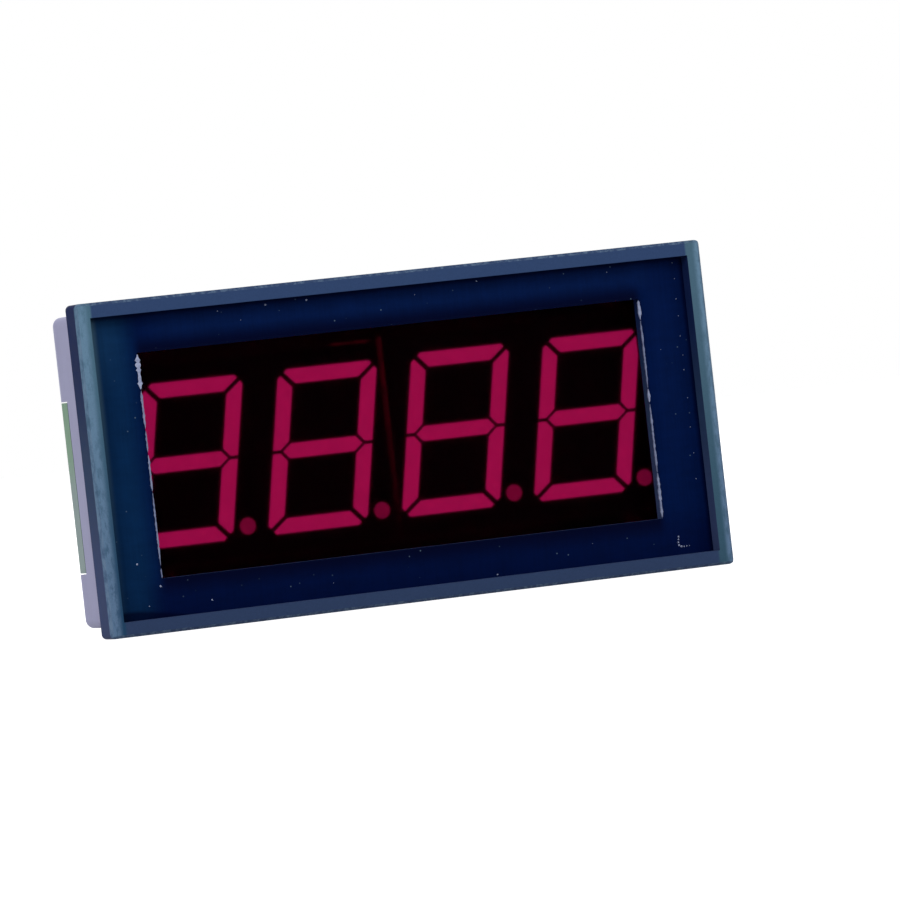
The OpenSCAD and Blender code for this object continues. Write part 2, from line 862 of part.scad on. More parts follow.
module film_box(at, turn) {
    on_board(at)
        rotate([0, 0, turn])
            difference() {
                intersection() {
                    linear_extrude(height = film_h)
                        chamfered_rect(film_l, film_t, film_chamfer);
                    film_ridge(film_l, film_t);
                    rotate([0, 0, 90])
                        film_ridge(film_t, film_l);
                }
                cube([film_l - 2 * film_foot_l, film_t + cut, 2 * film_foot], center = true);
                for (sx = [-1, 1])
                    translate([sx * film_pitch / 2, 0, -cut])
                        cylinder(h = cut + film_foot + lead_socket, d = wire_d + 2 * wire_play);
            }
}

// A bar along y with its two top edges chamfered
module film_ridge(w, l) {
    rotate([90, 0, 0])
        linear_extrude(height = l + cut, center = true)
            polygon([
                [-w / 2, 0], [w / 2, 0], [w / 2, film_h - film_chamfer], [w / 2 - film_chamfer, film_h],
                [film_chamfer - w / 2, film_h], [-w / 2, film_h - film_chamfer]
            ]);
}

module film_leads(leads) {
    color("silver")
        for (at = leads)
            straight_lead(at, film_foot + lead_socket - wire_play);
}

// ---- Supply cans ----
can_foot = 0.4;
can_groove = 0.35;
can_crimp = 1.3;
can_rim = 0.2;
vent_w = 0.15;

module supply_can(at) {
    r = can_d / 2;
    color("#2b3a67")
        on_board(at)
            difference() {
                rotate_extrude()
                    polygon([
                        [0, can_foot], [r * 0.64, can_foot], [r * 0.72, 0], [r * 0.92, 0], [r, can_foot / 2],
                        [r, can_crimp - can_groove], [r - can_groove, can_crimp - 0.1],
                        [r - can_groove, can_crimp + 0.1], [r, can_crimp + can_groove], [r, can_h - can_groove],
                        [r - can_groove, can_h], [r * 0.76, can_h], [r * 0.7, can_h - can_rim], [0, can_h - can_rim]
                    ]);
                for (turn = [0, 90])
                    rotate([0, 0, turn])
                        translate([0, 0, can_h - can_rim])
                            cube([can_d * 0.55, vent_w, vent_w], center = true);
                for (sy = [-1, 1])
                    translate([0, sy * can_pitch / 2, 0])
                        cylinder(h = can_foot + lead_socket, d = wire_d + 2 * wire_play);
            }
}

module can_leads(leads) {
    color("silver")
        for (at = leads)
            straight_lead(at, can_foot + lead_socket - wire_play);
}

// ---- Resistors and diode ----
function axial_z(d) = d / 2 + axial_lift;

module resistor(at) {
    r = resistor_d / 2;
    waist = r * 0.86;
    cap = resistor_l * 0.2;
    color("tan")
        on_board(at)
            translate([-resistor_l / 2, 0, axial_z(resistor_d)])
                rotate([0, 90, 0])
                    rotate_extrude()
                        polygon([
                            [0, 0], [r * 0.6, 0], [r * 0.92, cap * 0.2], [r, cap * 0.45], [r, cap * 0.8],
                            [waist, cap * 1.4], [waist, resistor_l - cap * 1.4], [r, resistor_l - cap * 0.8],
                            [r, resistor_l - cap * 0.45], [r * 0.92, resistor_l - cap * 0.2],
                            [r * 0.6, resistor_l], [0, resistor_l]
                        ]);
}

module resistor_leads(at) {
    axial_pair(at, axial_z(resistor_d), resistor_l);
}

diode_l = 3.5;
diode_d = 1.7;

module protection_diode() {
    color("peru")
        on_board(diode_at)
            translate([-diode_l / 2, 0, axial_z(diode_d)])
                rotate([0, 90, 0])
                    rotate_extrude()
                        polygon([
                            [0, 0], [diode_d * 0.3, 0], [diode_d / 2, 0.4], [diode_d / 2, diode_l - 0.4],
                            [diode_d * 0.3, diode_l], [0, diode_l]
                        ]);
}

// ---- Disc capacitor, on edge ----
module oscillator_capacitor() {
    r = disc_d / 2;
    color("darkorange")
        on_board([disc_x, disc_z])
            translate([-disc_t / 2, 0, r + 0.5])
                rotate([0, 90, 0])
                    difference() {
                        rotate_extrude()
                            polygon([
                                [0, 0], [r * 0.7, 0], [r * 0.93, disc_t * 0.2], [r, disc_t / 2],
                                [r * 0.93, disc_t * 0.8], [r * 0.7, disc_t], [0, disc_t]
                            ]);
                        for (sy = [-1, 1])
                            translate([r * 0.3, sy * disc_pitch / 2, disc_t / 2])
                                rotate([0, 90, 0])
                                    cylinder(h = r, d = wire_d + 2 * wire_play);
                    }
}

module oscillator_capacitor_leads() {
    color("silver")
        for (at = disc_leads)
            straight_lead(at, disc_d / 2 * 0.7 + 0.5 - wire_play);
}

// ---- Voltage reference: a half-round moulding on three leads ----
module voltage_reference() {
    color("#202124")
        on_board([sensor_x, sensor_z])
            difference() {
                translate([0, 0, sensor_lift])
                    linear_extrude(height = sensor_h)
                        intersection() {
                            circle(d = sensor_w);
                            translate([0, sensor_w / 2 - sensor_flat])
                                square([sensor_w + cut, sensor_w], center = true);
                        }
                for (i = [-1:1])
                    translate([sensor_pitch * i, 0, 0])
                        cylinder(h = sensor_lift + lead_socket, d = wire_d + 2 * wire_play);
            }
}

module voltage_reference_leads() {
    color("silver")
        for (at = sensor_leads)
            straight_lead(at, sensor_lift + lead_socket - wire_play);
}

// ---- Pin headers ----
module header_block(at) {
    difference() {
        on_board(at)
            linear_extrude(height = housing_h)
                chamfered_square(header_pitch, 0.4);
        header_pin(at, bond);
    }
}

// Square pin, pointed at both ends
module header_pin(at, grow) {
    w = header_pin_w + 2 * grow;
    tip = w / 4;
    low = -board_t - lead_stub;
    high = housing_h + header_pin_h;
    on_board(at)
        intersection_for (turn = [0, 90])
            rotate([90, 0, turn])
                linear_extrude(height = w, center = true)
                    polygon([
                        [-tip, low], [tip, low], [w / 2, low + 0.4], [w / 2, high - 0.5], [tip, high],
                        [-tip, high], [-w / 2, high - 0.5], [-w / 2, low + 0.4]
                    ]);
}

module signal_header() {
    color("#18181a")
        for (at = signal_at)
            header_block(at);
}

module signal_header_pins() {
    color("gold")
        for (at = signal_at)
            header_pin(at, 0);
}

module point_header() {
    color("#18181a")
        for (at = point_at)
            header_block(at);
}

module point_header_pins() {
    color("gold")
        for (at = point_at)
            header_pin(at, 0);
}

// ---- Jumper shunt: a sleeve over two pins with a folded contact strip inside ----
strip_w = shunt_w - 2 * shunt_wall - 0.1;
strip_gap = header_pin_w / 2 + contact_play;
strip_l = shunt_h - 1.2;

module point_shunt() {
    color("#101012")
        on_board([shunt_x, point_z])
            translate([0, 0, housing_h + shunt_lift])
                difference() {
                    linear_extrude(height = shunt_h)
                        chamfered_rect(shunt_w, shunt_t, 0.2);
                    translate([0, 0, -cut])
                        linear_extrude(height = cut + shunt_h - 0.6)
                            square([shunt_w - 2 * shunt_wall, 2 * (strip_gap + strip_t + contact_play)], center = true);
                    translate([0, 0, shunt_h - cut])
                        linear_extrude(height = 2 * cut)
                            square([header_pitch + header_pin_w + 2 * shunt_play, 2 * strip_gap], center = true);
                }
}

module chamfered_rect(w, h, c) {
    polygon([
        [c - w / 2, -h / 2], [w / 2 - c, -h / 2], [w / 2, c - h / 2], [w / 2, h / 2 - c],
        [w / 2 - c, h / 2], [c - w / 2, h / 2], [-w / 2, h / 2 - c], [-w / 2, c - h / 2]
    ]);
}

// Two cheeks joined by a web between the pins
module point_shunt_contact() {
    web_w = header_pitch - header_pin_w - 2 * contact_play;
    color("goldenrod")
        on_board([shunt_x, point_z])
            translate([0, 0, housing_h + shunt_lift + 0.3])
                linear_extrude(height = strip_l) {
                    for (side = [-1, 1])
                        translate([0, side * (strip_gap + strip_t / 2)])
                            square([strip_w, strip_t], center = true);
                    square([min(web_w, 0.6), 2 * strip_gap + strip_t], center = true);
                }
}

front_bezel();
filter_window();
rear_case();
left_display_housing();
left_display_segments();
left_display_pins();
right_display_housing();
right_display_segments();
right_display_pins();
circuit_board();
board_screws();
converter_chip();
converter_chip_leads();
trimmer_body();
trimmer_rotor();
trimmer_leads();
color("firebrick") film_box([film_a_x, film_top_z], 90);  // integrator_capacitor
film_leads(film_a_leads);  // integrator_capacitor_leads
color("firebrick") film_box([film_b_x, film_top_z], 90);  // auto_zero_capacitor
film_leads(film_b_leads);  // auto_zero_capacitor_leads
color("firebrick") film_box([film_c_x, film_c_z], 0);  // reference_capacitor
film_leads(film_c_leads);  // reference_capacitor_leads
supply_can([can_x, can_z]);  // supply_capacitor
can_leads(can_a_leads);  // supply_capacitor_leads
supply_can([can_x, -can_z]);  // negative_supply_capacitor
can_leads(can_b_leads);  // negative_supply_capacitor_leads
oscillator_capacitor();
oscillator_capacitor_leads();
voltage_reference();
voltage_reference_leads();
resistor(resistor_at[0]);  // integrator_resistor
resistor_leads(resistor_at[0]);  // integrator_resistor_leads
resistor(resistor_at[1]);  // input_resistor
resistor_leads(resistor_at[1]);  // input_resistor_leads
resistor(resistor_at[2]);  // reference_resistor
resistor_leads(resistor_at[2]);  // reference_resistor_leads
resistor(resistor_at[3]);  // oscillator_resistor
resistor_leads(resistor_at[3]);  // oscillator_resistor_leads
resistor(feed_resistor_at);  // feed_resistor
resistor_leads(feed_resistor_at);  // feed_resistor_leads
protection_diode();
axial_pair(diode_at, axial_z(diode_d), diode_l);  // protection_diode_leads
signal_header();
signal_header_pins();
point_header();
point_header_pins();
point_shunt();
point_shunt_contact();
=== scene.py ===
import math
import random

import bmesh
import bpy
from mathutils import Matrix, Vector


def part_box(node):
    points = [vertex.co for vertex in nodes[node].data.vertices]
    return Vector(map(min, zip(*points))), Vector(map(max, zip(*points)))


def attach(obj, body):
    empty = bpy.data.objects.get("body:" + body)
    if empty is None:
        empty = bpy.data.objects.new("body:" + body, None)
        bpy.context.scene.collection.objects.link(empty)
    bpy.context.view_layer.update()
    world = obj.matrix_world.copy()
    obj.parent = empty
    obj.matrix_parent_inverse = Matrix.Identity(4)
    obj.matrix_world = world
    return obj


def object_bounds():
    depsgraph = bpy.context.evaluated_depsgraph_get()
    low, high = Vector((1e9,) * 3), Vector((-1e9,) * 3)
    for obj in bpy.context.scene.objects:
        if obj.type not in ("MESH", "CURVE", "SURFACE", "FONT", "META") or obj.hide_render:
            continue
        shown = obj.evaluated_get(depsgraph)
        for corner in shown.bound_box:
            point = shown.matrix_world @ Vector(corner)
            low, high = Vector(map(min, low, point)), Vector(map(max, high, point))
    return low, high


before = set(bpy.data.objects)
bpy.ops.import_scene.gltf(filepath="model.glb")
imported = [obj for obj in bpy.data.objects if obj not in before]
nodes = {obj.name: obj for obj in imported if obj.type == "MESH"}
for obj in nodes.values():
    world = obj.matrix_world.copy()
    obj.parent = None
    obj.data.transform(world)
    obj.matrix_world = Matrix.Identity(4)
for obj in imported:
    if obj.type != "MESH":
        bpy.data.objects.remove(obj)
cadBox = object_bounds()
mm = 0.001
print("frame loaded:", len(nodes), "nodes")

# the camera comes first, then light, finishes, and the pieces that dress the part
cameraSetup = {
    "turn": -20.69,          # degrees round the part, left of its front
    "rise": 0.44,            # degrees above the horizon
    "roll": -6.37,           # degrees
    "distance": 604.9 * mm,
    "lens": 276.7,
    "target": (4.51 * mm, 0, -1.61 * mm),
}


def addCamera():
    turn, rise, roll = (math.radians(cameraSetup[key]) for key in ("turn", "rise", "roll"))
    back = Vector((math.sin(turn) * math.cos(rise), -math.cos(turn) * math.cos(rise), math.sin(rise)))
    right = (-back).cross(Vector((0, 0, 1))).normalized()
    up = right.cross(-back)
    tiltedRight = right * math.cos(roll) + up * math.sin(roll)
    tiltedUp = up * math.cos(roll) - right * math.sin(roll)
    data = bpy.data.cameras.new("camera")
    data.lens = cameraSetup["lens"]
    data.sensor_width = 36
    data.clip_start, data.clip_end = 0.01, 50
    camera = bpy.data.objects.new("camera", data)
    bpy.context.scene.collection.objects.link(camera)
    axes = Matrix((tiltedRight, tiltedUp, back)).transposed().to_4x4()
    place = Vector(cameraSetup["target"]) + back * cameraSetup["distance"]
    camera.matrix_world = Matrix.Translation(place) @ axes
    bpy.context.scene.camera = camera


addCamera()


# ---- shader helpers: a socket that takes part in Python expressions, and the nodes it belongs to
class Signal:
    def __init__(self, shading, socket):
        self.shading = shading
        self.socket = socket

    def of(self, name):  # another output of the same node
        return Signal(self.shading, self.socket.node.outputs[name])

    def maths(self, operation, *values):
        return self.shading.node("ShaderNodeMath", {"operation": operation}, dict(enumerate(values)))

    def __add__(self, other):
        return self.maths("ADD", self, other)

    def __radd__(self, other):
        return self.maths("ADD", other, self)

    def __sub__(self, other):
        return self.maths("SUBTRACT", self, other)

    def __rsub__(self, other):
        return self.maths("SUBTRACT", other, self)

    def __mul__(self, other):
        return self.maths("MULTIPLY", self, other)

    def __rmul__(self, other):
        return self.maths("MULTIPLY", other, self)

    def __truediv__(self, other):
        return self.maths("DIVIDE", self, other)

    def __rtruediv__(self, other):
        return self.maths("DIVIDE", other, self)

    def __pow__(self, other):
        return self.maths("POWER", self, other)

    def __rpow__(self, other):
        return self.maths("POWER", other, self)

    def __abs__(self):
        return self.maths("ABSOLUTE", self)

    def least(self, other):
        return self.maths("MINIMUM", self, other)

    def most(self, other):
        return self.maths("MAXIMUM", self, other)

    def rise(self, low, high):  # 0 below low, 1 above high, smooth between; low may be the larger one
        return self.shading.node(
            "ShaderNodeMapRange", {"interpolation_type": "SMOOTHSTEP"},
            {"Value": self, "From Min": low, "From Max": high, "To Min": 0.0, "To Max": 1.0})

    def band(self, low, high, soft):  # 1 between low and high
        return self.rise(low - soft, low + soft) * self.rise(high + soft, high - soft)


def tone(red, green, blue):  # a screen colour, 0 to 255, as the linear colour that the shader takes
    def linear(value):
        value /= 255
        return value / 12.92 if value <= 0.04045 else ((value + 0.055) / 1.055) ** 2.4
    return (linear(red), linear(green), linear(blue), 1.0)


class Shading:  # the nodes of a material or of the world
    def __init__(self, tree):
        self.tree = tree

    def connect(self, socket, value):
        if isinstance(value, Signal):
            self.tree.links.new(value.socket, socket)
        elif value is not None:
            socket.default_value = value[:3] if socket.type == "VECTOR" else value

    def node(self, kind, settings=None, inputs=None, output=0):
        made = self.tree.nodes.new(kind)
        for key, value in (settings or {}).items():
            setattr(made, key, value)
        for key, value in (inputs or {}).items():
            self.connect(made.inputs[key], value)
        return Signal(self, made.outputs[output])

    def shown(self):  # 1 where the camera sees it, straight, mirrored or through the filter
        path = self.node("ShaderNodeLightPath", output="Is Camera Ray")
        return path.most(path.of("Is Glossy Ray")).most(path.of("Is Transmission Ray"))


class Finish(Shading):
    def __init__(self, name, **fixed):
        self.material = bpy.data.materials.new(name)
        self.material.use_nodes = True
        super().__init__(self.material.node_tree)
        self.shader = self.tree.nodes["Principled BSDF"]
        self.set(**fixed)

    def set(self, **values):  # Base_Color=... and so on
        for key, value in values.items():
            self.connect(self.shader.inputs[key.replace("_", " ")], value)

    def place(self):  # where on the part, in millimetres
        at = self.node("ShaderNodeTexCoord", output="Object")
        return self.node("ShaderNodeVectorMath", {"operation": "SCALE"}, {0: at, "Scale": 1000.0})

    def axes(self, at):
        split = self.node("ShaderNodeSeparateXYZ", inputs={0: at})
        return split, split.of("Y"), split.of("Z")

    def facing(self):  # the surface's own normal, split in x, y and z
        return self.axes(self.node("ShaderNodeNewGeometry", output="Normal"))

    def stretched(self, at, factors):
        return self.node("ShaderNodeVectorMath", {"operation": "MULTIPLY"}, {0: at, 1: factors})

    def noise(self, at, scale, detail=3.0, roughness=0.55):
        return self.node("ShaderNodeTexNoise", inputs={
            "Vector": at, "Scale": scale, "Detail": detail, "Roughness": roughness})

    def cells(self, at, scale, randomness=1.0):
        return self.node("ShaderNodeTexVoronoi", inputs={
            "Vector": at, "Scale": scale, "Randomness": randomness})

    def blend(self, factor, first, second, kind="MIX"):
        return self.node("ShaderNodeMix", {"data_type": "RGBA", "blend_type": kind, "clamp_factor": True},
                         {0: factor, 6: first, 7: second}, output=2)

    def shade(self, colour, factor):  # a colour made lighter or darker by a number or a signal
        return self.node("ShaderNodeVectorMath", {"operation": "SCALE"}, {0: colour, "Scale": factor})

    def bump(self, height, strength, distance, normal=None):
        return self.node("ShaderNodeBump", inputs={
            "Height": height, "Strength": strength, "Distance": distance, "Normal": normal})

    def cover(self, *names):
        for name in names:
            data = nodes[name].data
            data.materials.clear()
            data.materials.append(self.material)
        return self


def boxInMm(name):
    return [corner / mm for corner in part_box(name)]


def levelsOf(name, depth):  # the values of x and z on a node's plane y = depth, in millimetres
    points = [vertex.co * 1000 for vertex in nodes[name].data.vertices]
    flat = [point for point in points if abs(point.y - depth) < 0.002]
    return tuple(sorted({round(point[axis], 3) for point in flat}) for axis in (0, 2))


def islands(mesh, polygons):  # the places of each connected group of faces, in micrometres
    places = [tuple(round(value * 1e6) for value in vertex.co) for vertex in mesh.vertices]
    used = sorted({index for polygon in polygons for index in polygon.vertices})
    parent = {places[index]: places[index] for index in used}

    def find(place):
        while parent[place] != place:
            parent[place] = parent[parent[place]]
            place = parent[place]
        return place

    for polygon in polygons:
        first = find(places[polygon.vertices[0]])
        for index in polygon.vertices[1:]:
            parent[find(places[index])] = first
    groups = {}
    for place in parent:
        groups.setdefault(find(place), []).append(place)
    return groups.values()


# the window's edges, from the inner loop of the recessed field
fieldDepth = sorted({round(vertex.co.y * 1000, 3) for vertex in nodes["front_bezel"].data.vertices
                     if abs(vertex.co.x) < 0.025 and vertex.co.y < -0.0005})[0]
fieldX, fieldZ = levelsOf("front_bezel", fieldDepth)
windowLeft, windowRight = fieldX[1], fieldX[-2]
windowTop = fieldZ[-2]
print("window:", windowLeft, windowRight, windowTop, "field at", fieldDepth)

# ---- bezel
bezelLook = {
    "rimTop": (48, 67, 103), "rimBottom": (47, 62, 93),
    # the upright sides of the rim are painted lighter than the top and bottom, and lighter higher up: painted
    # light
    "leftHigh": (72, 103, 122), "leftLow": (34, 64, 93),
    "rightHigh": (70, 98, 116), "rightLow": (52, 80, 98),
    # a ragged painted highlight along the rim's upright sides
    "glintHigh": (96, 126, 150), "glintLow": (88, 113, 142),
    # the field's tones carry painted light and shade: lighter on the left and above, darker below and at the
    # window
    "fieldMid": (1, 16, 56), "fieldLeft": (6, 34, 68), "fieldCorner": (14, 44, 78),
    "fieldLow": (1, 9, 46), "fieldRight": (3, 19, 60), "fieldTop": (5, 23, 64),
    "windowShade": (2, 2, 24), "shadowLine": (0, 2, 28),
    "sideTop": (20, 33, 72), "sideMid": (40, 57, 87), "sideBottom": (54, 66, 102),
    # the pale tone of the bevel's painted highlight, also used for the specks on the field
    "glintAndSpeck": (122, 146, 168),
    "grain": 0.25,           # depth of the moulded grain
}


def paintBezel():
    look = {key: tone(*value) for key, value in bezelLook.items() if isinstance(value, tuple)}
    low, high = boxInMm("front_bezel")
    rimWidth = fieldX[0] - low.x
    finish = Finish("bezelPlastic", Specular_IOR_Level=0.03, Specular_Tint=(0.3, 0.55, 1.0, 1.0), IOR=1.5)
    at = finish.place()
    x, y, z = finish.axes(at)
    normalX, normalY, normalZ = finish.facing()
    blotch = finish.noise(at, 0.35, 4.0)
    cloud = finish.noise(finish.stretched(at, (0.5, 1.0, 1.6)), 0.9, 5.0, 0.6)
    grain = finish.noise(at, 9.0, 2.0)
    streak = finish.noise(finish.stretched(at, (2.4, 1.0, 0.12)), 2.0, 4.0)
    ragged = finish.noise(finish.stretched(at, (1.0, 1.0, 0.35)), 2.6, 5.0, 0.7)
    height = z.rise(low.z, high.z)

    # the rim's four sides, each in its own tone of painted light, lighter towards the top and lighter on the
    # upright sides; the upright ones carry a ragged painted highlight along their outer halves
    fromLeft = x - low.x
    fromRight = high.x - x
    rim = finish.shade(finish.blend(height, look["rimBottom"], look["rimTop"]), 0.84 + 0.32 * grain)
    leftTone = finish.blend(height, look["leftLow"], look["leftHigh"])
    leftGlint = finish.blend(height, look["glintLow"], look["glintHigh"])
    rimGlint = fromLeft.rise(1.25, 0.62) * (0.35 + 1.3 * ragged.rise(0.3, 0.7)).least(1.0)
    leftSide = finish.shade(finish.blend(rimGlint, leftTone, leftGlint), 0.88 + 0.26 * grain)
    rim = finish.blend(fromLeft.rise(rimWidth + 0.25, rimWidth), rim, leftSide)
    rightTone = finish.blend(height, look["rightLow"], look["rightHigh"])
    rightGlint = finish.blend(height, look["glintLow"], look["glintHigh"])
    rimGlint = fromRight.rise(0.85, 0.35) * (0.3 + 1.2 * ragged.rise(0.32, 0.7)).least(1.0)
    rightSide = finish.shade(finish.blend(rimGlint, rightTone, rightGlint), 0.88 + 0.26 * grain)
    rim = finish.blend(fromRight.rise(rimWidth + 0.25, rimWidth), rim, rightSide)

    # the field fades from teal on the left to navy: painted light, lightest on the left and in the upper left
    # corner and a little lighter above the window, and painted shade, darker near the bottom, in a line just
    # inside the rim and along the window's top and bottom edges
    field = finish.blend(fromLeft.rise(3.6, 6.2), look["fieldLeft"], look["fieldMid"])
    corner = fromLeft.rise(5.2, 2.4) * z.rise(high.z - 9.0, high.z - 3.0)
    field = finish.blend(corner, field, look["fieldCorner"])
    above = z.band(windowTop + 1.0, high.z, 0.7) * fromLeft.rise(5.0, 9.0)
    field = finish.blend(above * 0.8, field, look["fieldTop"])
    field = finish.blend(fromRight.rise(5.6, 4.2) * height.rise(-0.2, 0.7), field, look["fieldRight"])
    below = z.rise(low.z + 6.0, low.z + 3.0) * fromLeft.rise(3.0, 6.0)
    field = finish.blend(below * 0.7, field, look["fieldLow"])
    field = finish.shade(field, 0.42 + 0.5 * cloud + 0.4 * streak + 0.34 * blotch)
    # a painted glow of the left rim's light spread onto the field beside it, stronger higher up
    glow = finish.blend(height, look["leftLow"], look["leftHigh"])
    field = finish.blend(fromLeft.rise(2.35, 1.6) * (0.35 + 0.5 * height), field, glow)
    wedge = (z - (low.z + rimWidth)) + fromLeft.rise(2.0, 10.0) * 0.9 - 0.6
    toRim = (high.z - rimWidth - z).least(wedge * 1.3 + 0.1).least(fromRight - rimWidth)
    toRim = toRim + (blotch - 0.5) * 0.3
    field = finish.blend(toRim.rise(0.55, 0.05) * 0.8, field, look["shadowLine"])
    # painted shade along the window's top and bottom edges
    toWindow = abs(z) - windowTop
    windowShade = toWindow.rise(1.9, 0.1) * x.band(windowLeft, windowRight, 0.5)
    field = finish.blend(windowShade * 0.85, field, look["windowShade"])

    isRim = y.rise(-2.15, -2.4) * normalY.rise(-0.4, -0.9)
    isField = y.band(-1.3, -1.0, 0.05) * normalY.rise(-0.4, -0.9)
    side = finish.blend(height.rise(0.45, 0.95), look["sideMid"], look["sideTop"])
    side = finish.blend(height.rise(0.5, 0.0), side, look["sideBottom"])
    side = finish.shade(side, 0.8 + 0.36 * cloud)
    colour = finish.blend(isField, side, field)
    colour = finish.blend(isRim, colour, rim)

    # a painted highlight along the bevel round the rim, in broken lengths
    bevel = y.rise(-2.15, -2.42) * normalY.band(-0.9, -0.3, 0.1)
    wearAndGlint = bevel * (0.1 + 0.7 * ragged.rise(0.42, 0.66))
    colour = finish.blend(wearAndGlint * 0.5, colour, look["glintAndSpeck"])
    specks = finish.cells(at, 1.1).rise(0.09, 0.05) * finish.noise(at, 0.6, 1.0).rise(0.5, 0.6)
    colour = finish.blend(specks * isField * 0.3, colour, look["glintAndSpeck"])

    rough = 0.5 + 0.2 * cloud - 0.1 * isRim
    relief = grain * bezelLook["grain"] + finish.noise(at, 2.2, 3.0) * 0.4 + streak * isField * 0.3
    finish.set(Base_Color=colour, Roughness=rough, Normal=finish.bump(relief, 0.3, 0.00005))
    finish.cover("front_bezel")


# ---- filter
filterLook = {
    "tint": (0.30, 0.012, 0.075, 1.0),
    "glare": (0.01, 0.01, 0.03, 1.0),     # the front is blasted against glare
    "haze": 0.33,
}


def paintFilter():
    finish = Finish("redAcrylic", Transmission_Weight=1.0, IOR=1.14, Specular_Tint=filterLook["glare"],
                    Base_Color=filterLook["tint"])
    at = finish.place()
    smear = finish.noise(finish.stretched(at, (0.4, 1.0, 1.0)), 0.5, 4.0)
    finish.set(Roughness=filterLook["haze"] + 0.04 * smear,
               Normal=finish.bump(smear, 0.05, 0.00002))
    finish.cover("filter_window")


# ---- display modules
displayLook = {
    "lit": (0.86, 0.27, 0.70),        # what the cast segments give off, before the filter
    "pointShare": 0.40,               # decimal points against the segments
    "face": (4, 4, 7), "body": (96, 98, 102), "resin": (150, 70, 84),
    # how brightly the painted highlight glows along the seam and the left module's top edge
    "seamGlint": 0.05,
}


def frontOutlines(name):  # boxes (left, right, bottom, top) of the outlines on a node's foremost plane
    mesh = nodes[name].data
    front = min(vertex.co.y for vertex in mesh.vertices)
    flat = [polygon for polygon in mesh.polygons
            if all(abs(mesh.vertices[i].co.y - front) < 2e-6 for i in polygon.vertices)]
    boxes = []
    for group in islands(mesh, flat):
        across, upward = ([place[axis] / 1000 for place in group] for axis in (0, 2))
        boxes.append((min(across), max(across), min(upward), max(upward)))
    return sorted(boxes)


def paintDisplay(side):
    housing = side + "_display_housing"
    segments = side + "_display_segments"
    low, high = boxInMm(housing)
    shell = Finish(side + "DisplayShell", Specular_IOR_Level=0.15)
    at = shell.place()
    x, y, z = shell.axes(at)
    printed = y.rise(low.y + 0.05, low.y + 0.02)
    mottled = shell.noise(at, 1.1, 4.0)
    shellTone = shell.shade(tone(*displayLook["body"]), 0.8 + 0.4 * mottled)
    colour = shell.blend(printed, shellTone, shell.shade(tone(*displayLook["face"]), 0.6 + 0.8 * mottled))
    # a painted highlight, given off as light, along the seam between the modules and the left module's top
    # edge
    seamGlint = abs(x).rise(0.32, 0.12) * z.rise(-9.0, 7.0)
    cornerGlint = z.rise(high.z - 0.3, high.z - 0.1) * x.band(-4.4, -0.9, 0.4)
    edgeGlint = y.rise(low.y + 0.4, low.y + 0.1) * seamGlint.most(cornerGlint * 1.2) * displayLook["seamGlint"]
    edgeGlint = edgeGlint * (0.5 + mottled.rise(0.4, 0.6))
    shell.set(Base_Color=colour, Roughness=0.5 + 0.25 * mottled,
              Normal=shell.bump(shell.noise(at, 7.0), 0.2, 0.00003),
              Emission_Color=shell.shade((1.0, 0.25, 0.3, 1.0), edgeGlint), Emission_Strength=1.0)
    shell.cover(housing)

    cast = Finish(side + "SegmentResin", Specular_IOR_Level=0.2)
    at = cast.place()
    x, y, z = cast.axes(at)
    face = boxInMm(segments)[0].y
    shown = y.rise(face + 0.06, face + 0.02)
    points = [box for box in frontOutlines(segments) if box[1] - box[0] < 2.0 and box[3] - box[2] < 2.0]
    dim = 0
    for left, right, bottom, top in points:
        acrossX = abs(x - (left + right) / 2)
        acrossZ = abs(z - (bottom + top) / 2)
        dim = acrossX.most(acrossZ).rise(1.0, 0.85).most(dim)
    wave = cast.noise(at, 0.7, 3.0)
    level = shown * (0.86 + 0.28 * wave) * (1 - dim * (1 - displayLook["pointShare"]))
    cast.set(Base_Color=cast.shade(tone(*displayLook["resin"]), 0.8 + 0.4 * wave),
             Roughness=0.35 + 0.2 * wave, Emission_Strength=1.0,
             Emission_Color=cast.shade((*displayLook["lit"], 1.0), level),
             Normal=cast.bump(cast.noise(at, 5.0), 0.1, 0.00003))
    cast.cover(segments)
    print(side, "module:", len(points), "decimal points")


# ---- case
caseLook = {"body": (152, 152, 184), "wearAndGlint": (178, 180, 206), "shadow": (112, 110, 142)}


def paintCase():
    finish = Finish("casePlastic", Specular_IOR_Level=0.35, IOR=1.5)
    at = finish.place()
    x, y, z = finish.axes(at)
    high = boxInMm("rear_case")[1]
    patch = finish.noise(at, 0.22, 4.0)
    grain = finish.noise(at, 6.0, 3.0)
    flow = finish.noise(finish.stretched(at, (0.3, 2.4, 0.3)), 1.0, 3.0)
    colour = finish.shade(tone(*caseLook["body"]), 0.93 + 0.08 * patch + 0.06 * flow)
    colour = finish.blend(patch.rise(0.6, 0.3) * 0.1, colour, tone(*caseLook["shadow"]))
    # painted shade inside the case: everything more than about 1.2 mm in from its outer sides is darkened
    inside = (abs(x) - (high.x - 1.2)).most(abs(z) - (high.z - 1.2)).rise(0.05, -0.1)
    colour = finish.shade(colour, 1 - 0.8 * inside)
    nearBack = y.rise(high.y - 0.5, high.y - 0.05) * flow.rise(0.4, 0.6)
    colour = finish.blend(nearBack * 0.5, colour, tone(*caseLook["wearAndGlint"]))
    scratch = finish.noise(finish.stretched(at, (0.15, 3.0, 6.0)), 2.2, 2.0).rise(0.66, 0.72)
    colour = finish.blend(scratch * 0.35, colour, tone(*caseLook["wearAndGlint"]))
    finish.set(Base_Color=colour, Roughness=0.5 + 0.18 * grain + 0.1 * patch,
               Normal=finish.bump(grain + 0.3 * flow, 0.22, 0.00005))
    finish.cover("rear_case")


# ---- board
boardLook = {"lacquer": (28, 92, 62), "lacquerDeep": (18, 66, 44), "laminate": (112, 146, 122),
             "laminateLow": (128, 146, 146)}


